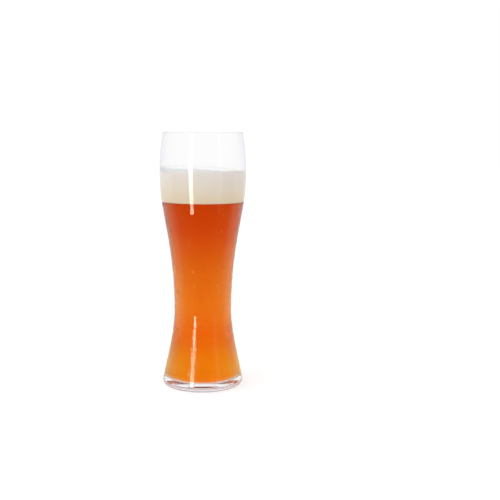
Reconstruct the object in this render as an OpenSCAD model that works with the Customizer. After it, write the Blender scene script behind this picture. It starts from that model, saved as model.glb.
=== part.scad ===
// Wheat-beer glass, filled: one blown glass, the beer in it and the foam on the beer.
// Z is up, and the origin is the middle of the ring that the glass stands on.

/* [Glass outside] */
// Height of the glass, from the table to the top of the rim
glass_h = 240; // [228:1:260]
// Outer diameter at the rim
rim_d = 74.8; // [70:0.2:79]
// Outer diameter at the belly, the widest place of the bowl
belly_d = 81.2; // [79:0.2:90]
// Depth of the belly below the rim
belly_drop = 40; // [32:1:52]
// Outer diameter at the waist, the narrowest place
waist_d = 53.8; // [48:0.2:60]
// Height of the waist above the table
waist_z = 72; // [60:1:90]
// Outer diameter at the foot, the widest place below the waist
foot_d = 76; // [70:0.2:84]
// Height of the foot's widest place above the table
foot_z = 5.5; // [4:0.1:7]
// Width of the rounded heel, from the foot's side in to the ring
heel_w = 6.5; // [4:0.1:9]

/* [Glass walls] */
// Thickness of the wall at the rim
rim_wall = 1.4; // [1:0.1:2]
// Thickness of the wall down at the foot
foot_wall = 5; // [3.2:0.1:6]
// Height of the inside floor above the table
floor_z = 6; // [4.5:0.1:9]
// Height of the rounded corner between the inside floor and the wall
corner_h = 6; // [4:0.1:10]
// Width of that rounded corner
corner_w = 8; // [5:0.1:12]
// Width of the flat ring that the glass stands on
ring_w = 6; // [2:0.1:9]
// Rise of the hollow under the foot
punt_h = 2; // [1:0.1:4]

/* [Beer and foam] */
// Free depth from the rim down to the foam's top, on the middle line
foam_drop = 34; // [22:0.5:60]
// Depth of the foam on the middle line
foam_h = 30; // [10:0.5:34]
// Tilt of the foam's top in degrees, higher towards -X
foam_tilt = 2.4; // [0:0.1:4]

/* [Hidden] */

// Steps along one long bend of the outline
bend_steps = 20;
// Steps along the rim, the heel, the floor's corner and the hollow
round_steps = 8;
// The cut runs this far past the foam
overrun = 5;
$fn = 96;

// Where the handles of the outline's bends lie, as shares of the stretch that they bend
rim_out_share = 0.35;
rim_down_share = 0.22;
belly_up_share = 0.47;
belly_down_share = 0.275;
waist_up_share = 0.5;
waist_down_share = 0.34;
foot_up_share = 0.05;
// A handle of this share makes a quarter bend round
round_share = 0.5523;

rim_r = rim_d / 2;
belly_r = belly_d / 2;
waist_r = waist_d / 2;
foot_r = foot_d / 2;
belly_z = glass_h - belly_drop;
// The rim is half a circle as wide as the wall there
lip_r = rim_wall / 2;
lip_z = glass_h - lip_r;
ring_r = foot_r - heel_w;
punt_r = ring_r - ring_w;
corner_z = floor_z + corner_h;
foam_z = glass_h - foam_drop;
beer_z = foam_z - foam_h;
// The foam's highest edge rises this far above its middle
foam_rise = belly_r * tan(foam_tilt);

// A point on the bend from a to d that b and c pull, at the share t of the way
function bend_point(a, b, c, d, t) =
    pow(1 - t, 3) * a + 3 * pow(1 - t, 2) * t * b + 3 * (1 - t) * t * t * c + t * t * t * d;

// The points of a bend after its first one
function bend(a, b, c, d, steps) = [for (i = [1:steps]) bend_point(a, b, c, d, i / steps)];

// A quarter bend from a point on an upright side to a point on a level one
function corner_bend(side, level) =
    bend(side, [side[0], side[1] + (level[1] - side[1]) * round_share],
        [level[0] + (side[0] - level[0]) * round_share, level[1]], level, round_steps);

function reversed(points) = [for (i = [len(points) - 1:-1:0]) points[i]];

// The outside, from the rim down by the belly and the waist to the foot's widest place
rim_drop = lip_z - belly_z;
stem_h = belly_z - waist_z;
flare_h = waist_z - foot_z;
rim = [rim_r, lip_z];
belly = [belly_r, belly_z];
waist = [waist_r, waist_z];
foot = [foot_r, foot_z];
rim_pull = [(belly_r - rim_r) * rim_out_share, -rim_drop * rim_down_share];
side_line = concat(
    [rim],
    bend(rim, rim + rim_pull, belly + [0, rim_drop * belly_up_share], belly, round_steps),
    bend(belly, belly - [0, stem_h * belly_down_share], waist + [0, stem_h * waist_up_share], waist,
        bend_steps),
    bend(waist, waist - [0, flare_h * waist_down_share], foot + [0, flare_h * foot_up_share], foot,
        bend_steps)
);

// The underside, round the heel to the ring on the table and up into the hollow
under_line = concat(
    corner_bend(foot, [ring_r, 0]),
    [[punt_r, 0]],
    reversed(corner_bend([punt_r, 0], [0, punt_h]))
);

// The wall thickens evenly on the way down from the rim
function wall_at(z) = rim_wall + (foot_wall - rim_wall) * (1 - z / lip_z);
function inner_r(z) = lookup(z, [for (p = side_line) [p[1], p[0]]]) - wall_at(z);

// The inside, from the rim down the wall and round the corner to the middle of the floor
corner = [inner_r(corner_z), corner_z];
floor_edge = [corner[0] - corner_w, floor_z];
inner_line = concat(
    [for (p = side_line) if (p[1] > corner_z) [inner_r(p[1]), p[1]]],
    [corner],
    corner_bend(corner, floor_edge),
    [[0, floor_z]]
);

// The rounded rim, from the inside over the top to the outside
lip_line = [for (i = [1:round_steps - 1])
    let (turn = 180 * (1 - i / round_steps))
    [rim_r - lip_r + lip_r * cos(turn), lip_z + lip_r * sin(turn)]];

// A cut across what the inside holds, at one height, from the middle to the wall
function level_cut(z) = [[0, z], [inner_r(z), z]];

module glass() {
    color([0.92, 0.94, 0.98, 0.35])
        rotate_extrude()
            polygon(concat(side_line, under_line, reversed(inner_line), lip_line));
}

module beer() {
    color([0.88, 0.38, 0.06])
        rotate_extrude()
            polygon(concat(level_cut(beer_z), [for (p = inner_line) if (p[1] < beer_z) p]));
}

module foam_head() {
    top_z = foam_z + foam_rise;
    color([0.93, 0.9, 0.83])
        difference() {
            rotate_extrude()
                polygon(concat(
                    level_cut(top_z),
                    [for (p = inner_line) if (p[1] < top_z && p[1] > beer_z) p],
                    reversed(level_cut(beer_z))
                ));
            translate([0, 0, foam_z])
                rotate([0, foam_tilt, 0])
                    translate([-belly_d, -belly_d, 0])
                        cube([belly_d * 2, belly_d * 2, foam_rise * 2 + overrun]);
        }
}

glass();
beer();
foam_head();
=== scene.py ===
import math
import random

import bmesh
import bpy
from mathutils import Matrix, Vector, noise


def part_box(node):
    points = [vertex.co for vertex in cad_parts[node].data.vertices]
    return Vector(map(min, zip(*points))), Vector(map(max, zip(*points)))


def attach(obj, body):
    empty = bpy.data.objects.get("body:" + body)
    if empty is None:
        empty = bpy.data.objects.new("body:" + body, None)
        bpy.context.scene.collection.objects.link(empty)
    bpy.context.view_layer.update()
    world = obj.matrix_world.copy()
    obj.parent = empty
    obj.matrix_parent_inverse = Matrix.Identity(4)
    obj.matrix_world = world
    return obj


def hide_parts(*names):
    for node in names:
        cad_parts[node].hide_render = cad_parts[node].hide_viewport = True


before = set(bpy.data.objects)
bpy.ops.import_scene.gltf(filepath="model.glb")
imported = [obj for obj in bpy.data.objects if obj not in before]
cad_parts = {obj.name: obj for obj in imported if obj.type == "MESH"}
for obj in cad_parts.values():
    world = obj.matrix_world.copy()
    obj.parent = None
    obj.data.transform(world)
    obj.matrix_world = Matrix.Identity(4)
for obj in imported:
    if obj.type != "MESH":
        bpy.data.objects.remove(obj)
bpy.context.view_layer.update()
glassBox, beerBox, foamBox = (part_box(name) for name in ("glass", "beer", "foam_head"))
scene = bpy.context.scene
scene.view_settings.view_transform = "Standard"
mm = 0.001
print("frame loaded:", ", ".join(sorted(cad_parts)))

# Light that runs inside the walls and the foot turns back many times before it gets out. Indirect light is
# cut only above the strip lamps' level, so that their reflections stay whole
lightLimits = dict(bounces=48, brightest=30)
for kind in ("max_bounces", "glossy_bounces", "transmission_bounces"):
    setattr(scene.cycles, kind, lightLimits["bounces"])
scene.cycles.sample_clamp_indirect = lightLimits["brightest"]


# The camera stands at the photograph's viewing angle. Angles in degrees, lens and film in millimetres, and
# the rest in metres
cameraPlace = dict(
    distance=0.880, height=0.24213, lens=67.4, film=36.0, right=2.904, down=7.286, roll=0.369,
    near=0.01, far=50.0,
)


def makeCamera(place):
    right, down, roll = (math.radians(place[name]) for name in ("right", "down", "roll"))
    ahead = Vector((math.sin(right) * math.cos(down), math.cos(right) * math.cos(down), -math.sin(down)))
    level = Vector((math.cos(right), -math.sin(right), 0))
    over = level.cross(ahead)
    side = math.cos(roll) * level + math.sin(roll) * over
    top = math.cos(roll) * over - math.sin(roll) * level
    data = bpy.data.cameras.new("camera")
    data.lens, data.sensor_width, data.sensor_fit = place["lens"], place["film"], "HORIZONTAL"
    data.clip_start, data.clip_end = place["near"], place["far"]
    camera = bpy.data.objects.new("camera", data)
    turn = Matrix((side, top, -ahead)).transposed().to_4x4()
    camera.matrix_world = Matrix.Translation((0, -place["distance"], place["height"])) @ turn
    scene.collection.objects.link(camera)
    scene.camera = camera


makeCamera(cameraPlace)
print("camera placed")


class Wire:
    # Wraps a node's output, so that shader maths is written as a plain expression
    def __init__(self, tree, socket=None):
        self.tree, self.socket = tree, socket

    def node(self, kind, settings=None, values=None, out=0):
        made = self.tree.nodes.new("ShaderNode" + kind)
        for name, value in (settings or {}).items():
            if name == "stops":
                ramp = made.color_ramp.elements
                while len(ramp) < len(value):
                    ramp.new(1.0)
                for element, (place, colour) in zip(ramp, value):
                    element.position, element.color = place, (*colour, 1.0)
            else:
                setattr(made, name, value)
        for name, value in (values or {}).items():
            if isinstance(value, Wire):
                self.tree.links.new(value.socket, made.inputs[name])
            else:
                made.inputs[name].default_value = value
        return Wire(self.tree, made.outputs[out] if made.outputs else None)

    def maths(self, operation, first, second):
        return self.node("Math", {"operation": operation}, {0: first, 1: second})

    def __add__(self, other):
        return self.maths("ADD", self, other)

    def __sub__(self, other):
        return self.maths("SUBTRACT", self, other)

    def __rsub__(self, other):
        return self.maths("SUBTRACT", other, self)

    def __mul__(self, other):
        return self.maths("MULTIPLY", self, other)

    def __truediv__(self, other):
        return self.maths("DIVIDE", self, other)

    def __rtruediv__(self, other):
        return self.maths("DIVIDE", other, self)

    __radd__, __rmul__ = __add__, __mul__

    def clamped(self):
        return self.maths("MINIMUM", self.maths("MAXIMUM", self, 0.0), 1.0)

    def axis(self, letter):
        return self.node("SeparateXYZ", {}, {0: self}, out=letter)

    def blend(self, first, second):
        # A Mix node's colours are its sockets 6 and 7, and they come out at 2
        return self.node("Mix", {"data_type": "RGBA"}, {0: self, 6: first, 7: second}, out=2)

    def ramp(self, tones):
        # Looks up a colour in a dictionary of places and the tones there
        low, high = min(tones), max(tones)
        stops = [((place - low) / (high - low), tone) for place, tone in tones.items()]
        return self.node("ValToRGB", {"stops": stops}, {0: ((self - low) / (high - low)).clamped()})

    def rays(self, *kinds):
        return [self.node("LightPath", out=f"Is {kind} Ray") for kind in kinds]


def emptyTree(owner):
    owner.use_nodes = True
    owner.node_tree.nodes.clear()
    return Wire(owner.node_tree)


def newMaterial(name):
    material = bpy.data.materials.new(name)
    return material, emptyTree(material)


def addPiece(name, mesh, material, replaced=None):
    piece = bpy.data.objects.new(name, mesh)
    mesh.materials.append(material)
    scene.collection.objects.link(piece)
    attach(piece, "root")
    if replaced:
        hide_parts(replaced)


# Sizes of the glass in millimetres. Its height, belly and floor come from the frame
glassSizes = dict(
    rimDiameter=74.8, bellyDrop=40.0, waistDiameter=53.8, waistHeight=72.0, footDiameter=76.0,
    footHeight=5.5, heelWidth=6.5, rimWall=1.4, footWall=5.0, cornerHeight=6.0, cornerWidth=8.0,
    ringWidth=6.0, puntRise=2.0,
)
# Where the handles of the outline's bends lie, as shares of the stretch that they bend
handleShares = dict(
    rimOut=0.35, rimDown=0.22, bellyUp=0.47, bellyDown=0.275, waistUp=0.5, waistDown=0.34, footUp=0.05,
    quarter=0.5523,
)
bendSteps, roundSteps, turnSteps = 60, 16, 192
turnAngles = [2 * math.pi * i / turnSteps for i in range(turnSteps)]
sharpAngle = math.radians(40)


def bend(start, pullStart, pullEnd, end, steps):
    points = []
    for i in range(1, steps + 1):
        gone = i / steps
        left = 1 - gone
        points.append(
            start * left ** 3 + pullStart * 3 * left * left * gone + pullEnd * 3 * left * gone * gone
            + end * gone ** 3
        )
    return points


def quarterBend(side, level, share):
    pullSide = side + Vector((0, (level.y - side.y) * share))
    pullLevel = level + Vector(((side.x - level.x) * share, 0))
    return bend(side, pullSide, pullLevel, level, roundSteps)


def crossing(line, height):
    # Where a line that runs down crosses a height: the radius there, and the line's direction, upwards
    above, below = next(pair for pair in zip(line, line[1:]) if pair[1].y <= height)
    radius = below.x + (above.x - below.x) * (height - below.y) / (above.y - below.y)
    return radius, (above - below).normalized()


def glassOutlines(sizes, share):
    # Gives the whole outline, the line of the inside, the inside's radius at a height and the outside's line
    size = {name: value * mm for name, value in sizes.items()}
    lipRadius, wallGrowth = size["rimWall"] / 2, size["footWall"] - size["rimWall"]
    lipHeight = glassBox[1].z - lipRadius
    rim = Vector((size["rimDiameter"] / 2, lipHeight))
    belly = Vector((glassBox[1].x, glassBox[1].z - size["bellyDrop"]))
    waist = Vector((size["waistDiameter"] / 2, size["waistHeight"]))
    foot = Vector((size["footDiameter"] / 2, size["footHeight"]))
    drop, stem, flare = rim.y - belly.y, belly.y - waist.y, waist.y - foot.y
    up = Vector((0, 1))
    rimPull = rim + Vector(((belly.x - rim.x) * share["rimOut"], -drop * share["rimDown"]))
    bellyTop, bellyEnd = belly + up * drop * share["bellyUp"], belly - up * stem * share["bellyDown"]
    waistTop, waistEnd = waist + up * stem * share["waistUp"], waist - up * flare * share["waistDown"]
    footTop = foot + up * flare * share["footUp"]
    side = [rim]
    side += bend(rim, rimPull, bellyTop, belly, bendSteps)
    side += bend(belly, bellyEnd, waistTop, waist, bendSteps)
    side += bend(waist, waistEnd, footTop, foot, bendSteps)

    ring = Vector((foot.x - size["heelWidth"], 0))
    punt = ring - Vector((size["ringWidth"], 0))
    hollow = quarterBend(punt, Vector((0, size["puntRise"])), share["quarter"])
    under = hollow[::-1] + [punt] + quarterBend(foot, ring, share["quarter"])[::-1]

    def insideRadius(height):
        outside = crossing(side, height)[0]
        return outside - size["rimWall"] - wallGrowth * (1 - height / lipHeight)

    floor = beerBox[0].z
    cornerTop = floor + size["cornerHeight"]
    corner = Vector((insideRadius(cornerTop), cornerTop))
    inside = [Vector((insideRadius(point.y), point.y)) for point in side if point.y > cornerTop]
    inside.append(corner)
    inside += quarterBend(corner, Vector((corner.x - size["cornerWidth"], floor)), share["quarter"])
    inside.append(Vector((0, floor)))
    lip = []
    for i in range(1, roundSteps):
        turn = math.pi * i / roundSteps
        lip.append(rim + Vector((math.cos(turn) - 1, math.sin(turn))) * lipRadius)
    return under + side[::-1] + lip + inside, inside, insideRadius, side


def turnedPoint(radius, angle, height):
    return Vector((radius * math.cos(angle), radius * math.sin(angle), height))


def skin(work, rings, sides):
    # Faces between each ring of points and the next. A ring of one point closes the skin
    for low, high in zip(rings, rings[1:]):
        for i in range(sides):
            j = (i + 1) % sides
            around = [low[i % len(low)], low[j % len(low)], high[j % len(high)], high[i % len(high)]]
            work.faces.new(list(dict.fromkeys(around)))


def closedMesh(name, work):
    bmesh.ops.recalc_face_normals(work, faces=work.faces)
    mesh = bpy.data.meshes.new(name)
    work.to_mesh(mesh)
    work.free()
    mesh.shade_smooth()
    mesh.set_sharp_from_angle(angle=sharpAngle)
    return mesh


def turned(name, outline):
    # A closed skin from an outline that runs from the axis out and round to the axis again
    work = bmesh.new()
    rings = []
    for point in outline:
        angles = turnAngles if point.x > 0 else turnAngles[:1]
        rings.append([work.verts.new(turnedPoint(point.x, angle, point.y)) for angle in angles])
    skin(work, rings, turnSteps)
    return closedMesh(name, work)


# Clear glass, lilac in its depth. The chilled part is faintly misted and drawn wavy, the lower part is
# beaded with condensation, and the foot is clear. Its outside mirrors, and where light has entered it,
# only full reflection is left. Lamps and soft light pass straight through it. Lengths in millimetres
clearGlassLook = dict(
    bending=1.5, shine=0.5, shineInside=0.0, tint=(0.35, 0.35, 0.60), depth=1.8, mist=0.05, mistSpots=90.0,
    mistFrom=0.45, mistContrast=4.0, waviness=0.02, waves=(26.0, 26.0, 9.0), beads=0.3, beadScale=330.0,
    clearBelow=13.0, chilledFrom=40.0, beadsFrom=18.0, beadsFade=42.0, beadsEnd=58.0,
)


def clearGlass(name, look):
    material, wire = newMaterial(name)
    place = wire.node("TexCoord", out="Object")
    height = place.axis("Z") / mm
    clear = look["clearBelow"]
    chilled = ((height - clear) / (look["chilledFrom"] - clear)).clamped()
    beaded = ((height - clear) / (look["beadsFrom"] - clear)).clamped()
    beaded = beaded * ((look["beadsEnd"] - height) / (look["beadsEnd"] - look["beadsFade"])).clamped()
    stretched = wire.node("VectorMath", {"operation": "MULTIPLY"}, {0: place, 1: look["waves"]})
    ripple = wire.node("TexNoise", {}, {"Vector": stretched, "Scale": 1.0, "Detail": 2.0})
    beads = wire.node("TexNoise", {}, {"Vector": place, "Scale": look["beadScale"], "Detail": 2.0})
    spots = wire.node("TexNoise", {}, {"Vector": place, "Scale": look["mistSpots"], "Detail": 5.0})
    mist = ((spots - look["mistFrom"]) * look["mistContrast"]).clamped() * chilled * look["mist"]
    relief = (ripple - 0.5) * chilled * look["waviness"] + (beads - 0.5) * beaded * look["beads"]
    surface = wire.node("Bump", {}, {"Strength": 1.0, "Distance": mm, "Height": relief})
    outside, inside = (
        wire.node("BsdfPrincipled", {}, {
            "Base Color": (1, 1, 1, 1), "Roughness": mist, "IOR": look["bending"], "Normal": surface,
            "Transmission Weight": 1.0, "Specular Tint": (shine, shine, shine, 1),
        })
        for shine in (look["shine"], look["shineInside"])
    )
    straight = wire.node("BsdfTransparent")
    entered, lampLight, softLight = wire.rays("Transmission", "Shadow", "Diffuse")
    passed = wire.node("MixShader", {}, {0: entered, 1: outside, 2: inside})
    passed = wire.node("MixShader", {}, {0: lampLight, 1: passed, 2: straight})
    passed = wire.node("MixShader", {}, {0: softLight, 1: passed, 2: straight})
    depth = wire.node("VolumeAbsorption", {}, {"Color": (*look["tint"], 1), "Density": look["depth"]})
    wire.node("OutputMaterial", {}, {"Surface": passed, "Volume": depth})
    return material


glassMaterial = clearGlass("clear_glass", clearGlassLook)
glassOutline, insideLine, insideRadius, sideLine = glassOutlines(glassSizes, handleShares)
addPiece("glass_wall", turned("glass_wall", glassOutline), glassMaterial, "glass")
print("glass turned:", len(glassOutline), "points in its outline")


# Amber wheat beer. Its colour comes from the depth that light crosses and from tones by height, which paint
# shade and light: darker and redder towards the top, under the foam, and clear towards the foot, where light
# from the table comes up. Its yeast blurs what is behind. Lengths in millimetres
beerLook = dict(
    bending=1.34, tint=(0.995, 0.75, 0.01), depth=95.0, bite=0.12, film=0.05,
    cloud={6: 0.0, 7.5: 0.4, 30: 0.4, 60: 0.2},
    # The tones by height are painted shade and light: darker and redder towards the top, under the foam, and
    # clear towards the foot, where light from the table comes up
    tones={
        10: (1, 1, 1), 20: (0.95, 1, 0.7), 44: (0.91, 0.45, 0.48), 76: (0.88, 0.52, 0.5),
        110: (0.79, 0.45, 0.6), 150: (0.665, 0.265, 0.9), 176: (0.61, 0.262, 1),
    },
)


def wheatBeer(look):
    material, wire = newMaterial("wheat_beer")
    height = wire.node("TexCoord", out="Object").axis("Z") / mm
    cloud = {place: (blur, blur, blur) for place, blur in look["cloud"].items()}
    # Base Color paints shade and light by height: darker towards the top, clear towards the foot
    beer = wire.node("BsdfPrincipled", {}, {
        "Base Color": height.ramp(look["tones"]), "Roughness": height.ramp(cloud), "IOR": look["bending"],
        "Transmission Weight": 1.0, "Specular Tint": (0, 0, 0, 1),
    })
    depth = wire.node("VolumeAbsorption", {}, {"Color": (*look["tint"], 1), "Density": look["depth"]})
    wire.node("OutputMaterial", {}, {"Surface": beer, "Volume": depth})
    return material


def beerOutline(look):
    # The beer bites a hair into the wall and stands a hair clear of the floor, which keeps the foot clear
    shift, top = Vector((look["bite"], look["film"])) * mm, beerBox[1].z
    outline = [Vector((0, top)), Vector((insideRadius(top) + shift.x, top))]
    outline += [point + shift for point in insideLine[:-1] if point.y + shift.y < top]
    outline.append(insideLine[-1] + Vector((0, shift.y)))
    return outline


beerMesh = turned("beer_body", beerOutline(beerLook))
addPiece("beer_body", beerMesh, wheatBeer(beerLook), "beer")
print("beer filled in")


# Foam of fine bubbles with an uneven top, higher on one side, that clings to the wall. Its tones go by the
# share of its depth, with paler patches and bubbles on them. The grain's layers are how fast they weaken,
# how much finer each is and how many there are. Lengths in millimetres
foamLook = dict(
    depth=30.0, tilt=2.4, swell=0.7, swellSize=14.0, swellFrom=(3.1, 8.4, 0), grain=0.25, grainSize=3.5,
    grainLayers=(1.0, 2.0, 3), cling=0.8, clingWidth=2.5, bite=0.12, sideSteps=30, topSteps=70,
    bubbleScale=1400.0, bubbleMiddle=0.45, bubbleShare=0.25, patchScale=160.0, patchShare=0.5,
    patchRelief=0.6, relief=0.3, soak=3.0, pale=(0.93, 0.90, 0.84),
    tones={
        0: (0.86, 0.705, 0.485), 0.35: (0.90, 0.78, 0.635), 0.9: (0.89, 0.83, 0.775),
        0.98: (0.87, 0.865, 0.865),
    },
)
foamBottom, foamDepth = foamBox[0].z, foamLook["depth"] * mm


def foamTop(look, x, y, edge):
    # The height of the foam's top at a place that lies this far in from its edge
    spot = Vector((x, y, 0)) / mm
    swell = noise.noise(spot / look["swellSize"] + Vector(look["swellFrom"]))
    grain = noise.fractal(spot / look["grainSize"], *look["grainLayers"])
    cling = math.exp(-(edge / mm) / look["clingWidth"])
    height = look["swell"] * swell + look["grain"] * grain + look["cling"] * cling
    return foamBottom + foamDepth - x * math.tan(math.radians(look["tilt"])) + height * mm


def foamMesh(look):
    bite = look["bite"] * mm
    bottom = foamBottom - bite
    wall = insideRadius(bottom + foamDepth)
    edges = []
    for angle in turnAngles:
        top = foamTop(look, wall * math.cos(angle), wall * math.sin(angle), 0)
        edges.append((angle, insideRadius(top), top))
    work = bmesh.new()
    rings = [[work.verts.new((0, 0, bottom))]]
    for i in range(look["sideSteps"] + 1):
        ring = []
        for angle, reach, top in edges:
            height = bottom + (top - bottom) * i / look["sideSteps"]
            ring.append(work.verts.new(turnedPoint(insideRadius(height) + bite, angle, height)))
        rings.append(ring)
    for i in range(1, look["topSteps"]):
        share = 1 - i / look["topSteps"]
        ring = []
        for angle, reach, top in edges:
            x, y = reach * share * math.cos(angle), reach * share * math.sin(angle)
            ring.append(work.verts.new((x, y, foamTop(look, x, y, reach * (1 - share)))))
        rings.append(ring)
    rings.append([work.verts.new((0, 0, foamTop(look, 0, 0, wall)))])
    skin(work, rings, turnSteps)
    return closedMesh("foam_crown", work)


def beerFoam(look):
    material, wire = newMaterial("beer_foam")
    place = wire.node("TexCoord", out="Object")
    tone = ((place.axis("Z") - foamBottom) / foamDepth).ramp(look["tones"])
    bubbles = wire.node("TexVoronoi", {"feature": "SMOOTH_F1"}, {
        "Vector": place, "Scale": look["bubbleScale"], "Smoothness": 0.4,
    })
    patches = wire.node("TexNoise", {}, {"Vector": place, "Scale": look["patchScale"], "Detail": 4.0})
    paler = (patches - 0.5) * look["patchShare"] + (look["bubbleMiddle"] - bubbles) * look["bubbleShare"]
    grain = wire.node("Bump", {}, {
        "Strength": 0.35, "Distance": look["relief"] * mm, "Height": bubbles + patches * look["patchRelief"],
    })
    foam = wire.node("BsdfPrincipled", {}, {
        "Base Color": paler.clamped().blend(tone, (*look["pale"], 1)), "Roughness": 0.9, "Normal": grain,
        "Specular IOR Level": 0.2, "Subsurface Weight": 0.35, "Subsurface Radius": (1.0, 0.75, 0.5),
        "Subsurface Scale": look["soak"] * mm,
    })
    wire.node("OutputMaterial", {}, {"Surface": foam})
    return material


addPiece("foam_crown", foamMesh(foamLook), beerFoam(foamLook), "foam_head")
print("foam laid on")


# Fine drops of condensation on the outside, mostly small and closer together lower down. Their water has
# none of the glass's beads, waves and mist. Lengths in millimetres
dropLook = dict(
    seed=11, count=5200, lowest=12.0, highest=186.0, crowding=1.5, smallest=0.28, largest=0.9, fineness=3,
    cell=1.6, apart=1.1, flat=0.6, sunk=0.12, stretch=(0.95, 1.25), rings=2, sides=8,
)
waterLook = dict(
    clearGlassLook, bending=1.33, tint=(0.9, 0.9, 0.9), depth=1.0, mist=0.0, waviness=0.0, beads=0.0,
)


def dropPlaces(look, pick):
    # Random places that keep apart. Only drops in cells side by side can be too near each other
    span, growth = look["highest"] - look["lowest"], look["largest"] - look["smallest"]
    cell = look["cell"] * mm
    taken = {}
    made = 0
    while made < look["count"]:
        height = (look["lowest"] + span * pick.random() ** look["crowding"]) * mm
        turn = pick.uniform(0, 2 * math.pi)
        size = (look["smallest"] + growth * pick.random() ** look["fineness"]) * mm
        radius, upward = crossing(sideLine, height)
        row, column = int(height / cell), int(radius * turn / cell)
        near = []
        for above in (-1, 0, 1):
            for beside in (-1, 0, 1):
                near += taken.get((row + above, column + beside), [])
        gaps = [
            math.hypot(radius * (turn - otherTurn), height - otherHeight)
            - (size + otherSize) * look["apart"]
            for otherTurn, otherHeight, otherSize in near
        ]
        if min(gaps, default=0) < 0:
            continue
        taken.setdefault((row, column), []).append((turn, height, size))
        made += 1
        yield turn, height, size, radius, upward


def dropMesh(look):
    pick = random.Random(look["seed"])
    work = bmesh.new()
    for turn, height, size, radius, upward in dropPlaces(look, pick):
        out, along = turnedPoint(upward.y, turn, -upward.x), turnedPoint(upward.x, turn, upward.y)
        across = out.cross(along)
        base = turnedPoint(radius, turn, height) - out * size * look["sunk"]
        stretch = pick.uniform(*look["stretch"])
        layers = []
        for i in range(look["rings"] + 1):
            lift = math.pi / 2 * i / look["rings"]
            middle = base + out * size * look["flat"] * math.sin(lift)
            reach = size * math.cos(lift)
            ring = []
            for j in range(look["sides"] if i < look["rings"] else 1):
                angle = 2 * math.pi * j / look["sides"]
                spread = across * reach * math.cos(angle) + along * reach * stretch * math.sin(angle)
                ring.append(work.verts.new(middle + spread))
            layers.append(ring)
        work.faces.new(layers[0][::-1])
        skin(work, layers, look["sides"])
    return closedMesh("condensation", work)


addPiece("condensation", dropMesh(dropLook), clearGlass("water_drops", waterLook))
print("drops set:", dropLook["count"])


# Light level 1 is the white of the background, which the glass mirrors and shows too. Reflections grow dim
# away from it, through lilac walls at the sides to the camera's side. The walls' tones are given by how far
# their direction points ahead. The floor's tones in reflections are given by the place along Y in metres and
# are painted: painted shade on the camera's side and round the glass, and a painted warm gleam behind it, as
# if the beer threw it. The floor's lift to white grows with its distance in metres, so that its shadow stays
lightPlan = dict(
    white=1.0, soft=(0.78, 0.78, 0.78), floor=(0.80, 0.80, 0.80), reach=6.0, floorSides=96, below=0.0002,
    walls={
        -0.1: (0.03, 0.03, 0.04), 0.5: (0.12, 0.11, 0.16), 0.75: (0.38, 0.35, 0.54),
        0.92: (0.58, 0.56, 0.76), 1.0: (1, 1, 1),
    },
    # Painted shade on the camera's side and round the glass, and a painted warm gleam behind it
    table={
        -0.1: (0.03, 0.03, 0.04), 0.0: (0.6, 0.55, 0.65), 0.1: (1, 1, 0.55), 0.3: (1, 1, 0.7),
        0.7: (1, 1, 1),
    },
    lift={0.5: (0.32, 0.32, 0.32), 1.2: (0.50, 0.50, 0.50)},
)
# Places and sizes in metres. The strips show only in reflections, and the sky lamp gives only soft light
stripLamps = {
    "strip_left": dict(
        at=(-0.203, -0.345), width=0.070, low=0.008, high=0.38, level=21.0, colour=(1, 1, 0.8),
    ),
    "strip_right": dict(
        at=(0.30, -0.30), width=0.05, low=0.005, high=0.38, level=1.1, colour=(1, 1, 1),
    ),
}
skyLamp = dict(at=(-0.22, -0.28, 1.1), aim=(0, 0, 0.1), size=0.9, level=1.6, colour=(1, 1, 1))


def makeWorld(plan):
    world = bpy.data.worlds.new("studio")
    world.cycles.sampling_method = "NONE"   # so that light on its way through the beer finds the full white
    scene.world = world
    wire = emptyTree(world)
    shown, through, mirrored = wire.rays("Camera", "Transmission", "Glossy")
    ahead = wire.node("TexCoord", out="Generated").axis("Y")
    colour = mirrored.blend((*plan["soft"], 1), ahead.ramp(plan["walls"]))
    colour = (shown + through).clamped().blend(colour, (plan["white"],) * 3 + (1,))
    sky = wire.node("Background", {}, {"Color": colour, "Strength": 1.0})
    wire.node("OutputWorld", {}, {"Surface": sky})


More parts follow.
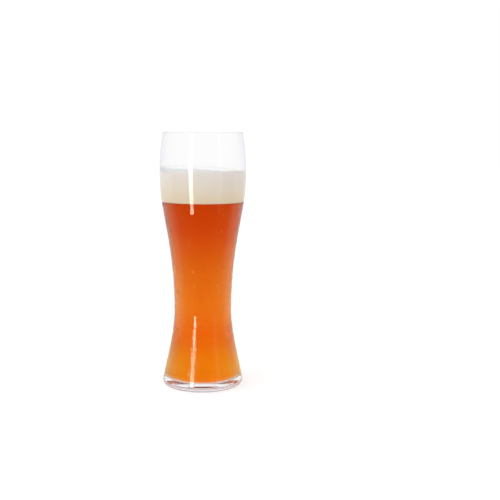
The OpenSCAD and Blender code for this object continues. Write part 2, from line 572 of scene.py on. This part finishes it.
def makeFloor(plan):
    material, wire = newMaterial("pale_floor")
    material.cycles.emission_sampling = "NONE"
    shown, through, mirrored = wire.rays("Camera", "Transmission", "Glossy")
    place = wire.node("TexCoord", out="Object")
    distance = wire.node("VectorMath", {"operation": "LENGTH"}, {0: place}, out="Value")
    bare = wire.node("BsdfDiffuse", {}, {"Color": (*plan["floor"], 1)})
    glow = wire.node("Emission", {}, {"Color": distance.ramp(plan["lift"]), "Strength": 1.0})
    lifted = wire.node("AddShader", {}, {0: bare, 1: glow})
    # The floor as mirrored is painted light and shade: painted shade on the camera's side and round the
    # glass, and a painted warm gleam behind it
    table = wire.node("Emission", {}, {"Color": place.axis("Y").ramp(plan["table"]), "Strength": 1.0})
    white = wire.node("Emission", {}, {"Strength": plan["white"]})
    surface = wire.node("MixShader", {}, {0: shown, 1: bare, 2: lifted})
    surface = wire.node("MixShader", {}, {0: mirrored, 1: surface, 2: table})
    surface = wire.node("MixShader", {}, {0: through, 1: surface, 2: white})
    wire.node("OutputMaterial", {}, {"Surface": surface})
    work = bmesh.new()
    bmesh.ops.create_circle(work, cap_ends=True, segments=plan["floorSides"], radius=plan["reach"])
    mesh = bpy.data.meshes.new("floor")
    work.to_mesh(mesh)
    work.free()
    mesh.materials.append(material)
    floor = bpy.data.objects.new("floor", mesh)
    floor.location.z = -plan["below"]
    scene.collection.objects.link(floor)


def addLamp(name, look, width, height, place, aim):
    data = bpy.data.lights.new(name, "AREA")
    data.shape, data.size, data.size_y = "RECTANGLE", width, height
    data.energy, data.color = look["level"] * math.pi * width * height, look["colour"]
    lamp = bpy.data.objects.new(name, data)
    turn = (aim - place).to_track_quat("-Z", "Y").to_matrix().to_4x4()
    lamp.matrix_world = Matrix.Translation(place) @ turn
    lamp.visible_camera, lamp.visible_transmission = False, False
    scene.collection.objects.link(lamp)
    return lamp


def addLamps():
    for name, look in stripLamps.items():
        middle = (look["low"] + look["high"]) / 2
        place, aim = Vector((*look["at"], middle)), Vector((0, 0, middle))
        strip = addLamp(name, look, look["width"], look["high"] - look["low"], place, aim)
        strip.visible_diffuse = False
    size = skyLamp["size"]
    sky = addLamp("sky", skyLamp, size, size, Vector(skyLamp["at"]), Vector(skyLamp["aim"]))
    sky.visible_glossy = False


makeWorld(lightPlan)
makeFloor(lightPlan)
addLamps()
print("light set")
